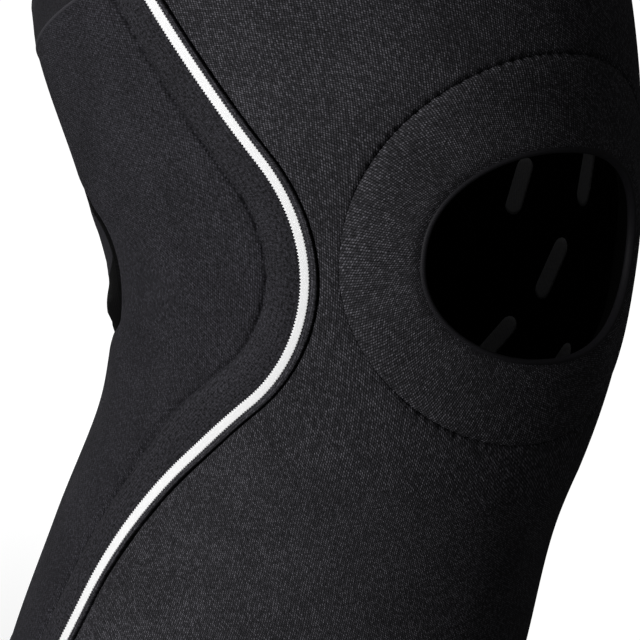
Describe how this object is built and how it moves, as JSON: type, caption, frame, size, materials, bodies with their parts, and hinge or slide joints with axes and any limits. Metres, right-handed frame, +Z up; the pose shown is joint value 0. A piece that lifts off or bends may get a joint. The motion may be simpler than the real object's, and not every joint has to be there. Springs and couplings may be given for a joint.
{
  "type": "knee brace",
  "caption": "Pull-on neoprene knee sleeve, bent at rest, with an open padded kneecap ring, taped side seams, side stays and bound rims.",
  "frame": {"origin": "centre of the calf opening, in the plane of the calf rim", "axes": "+Z up the calf towards the knee, +X to the kneecap side, +Y to the left side of the sleeve"},
  "size_m": [0.167, 0.1416, 0.2385],
  "materials": {
    "front_knit": "matte fine-knit face on neoprene",
    "back_knit": "matte fine-knit face on neoprene",
    "ring_knit": "matte knit, pulled radially",
    "insert_knit": "matte thin stretch knit",
    "binding": "smooth stretch binding",
    "pad": "soft silicone gel",
    "tape": "woven narrow tape",
    "piping": "braided cord",
    "channel": "matte stitched strip",
    "stay": "spring steel strip",
    "stay_tip": "dipped end cap"
  },
  "bodies": {
    "calf": {"front_panel_calf": "front_knit", "back_panel_calf": "back_knit", "calf_hem": "binding"},
    "knee": {"front_panel_knee": "front_knit", "back_panel_knee": "back_knit", "popliteal_insert": "insert_knit", "seam_tape_left": "tape", "seam_tape_right": "tape", "piping_left": "piping", "piping_right": "piping", "stay_channel_left": "channel", "stay_channel_right": "channel", "stay_left": "stay", "stay_right": "stay", "stay_tips_left": "stay_tip", "stay_tips_right": "stay_tip", "patella_ring": "ring_knit", "patella_pad": "pad", "opening_edging": "binding"},
    "thigh": {"front_panel_thigh": "front_knit", "back_panel_thigh": "back_knit", "thigh_hem": "binding"}
  },
  "joints": [
    {"name": "knee_flexion", "type": "hinge", "parent": "calf", "child": "thigh", "pos_m": [0, 0, 0.125], "axis": [0, -1, 0], "range_deg": [-38, 60], "stiffness_Nm_per_rad": 0.8, "deforming": ["front_panel_knee", "back_panel_knee", "popliteal_insert", "seam_tape_left", "seam_tape_right", "piping_left", "piping_right", "stay_channel_left", "stay_channel_right", "stay_left", "stay_right", "stay_tips_left", "stay_tips_right"]},
    {"name": "knee_follow", "type": "hinge", "parent": "calf", "child": "knee", "pos_m": [0, 0, 0.125], "axis": [0, -1, 0], "range_deg": [-24.7, 39]}
  ],
  "couplings": [
    {"joint": "knee_follow", "follows": "knee_flexion", "ratio": 0.65}
  ]
}
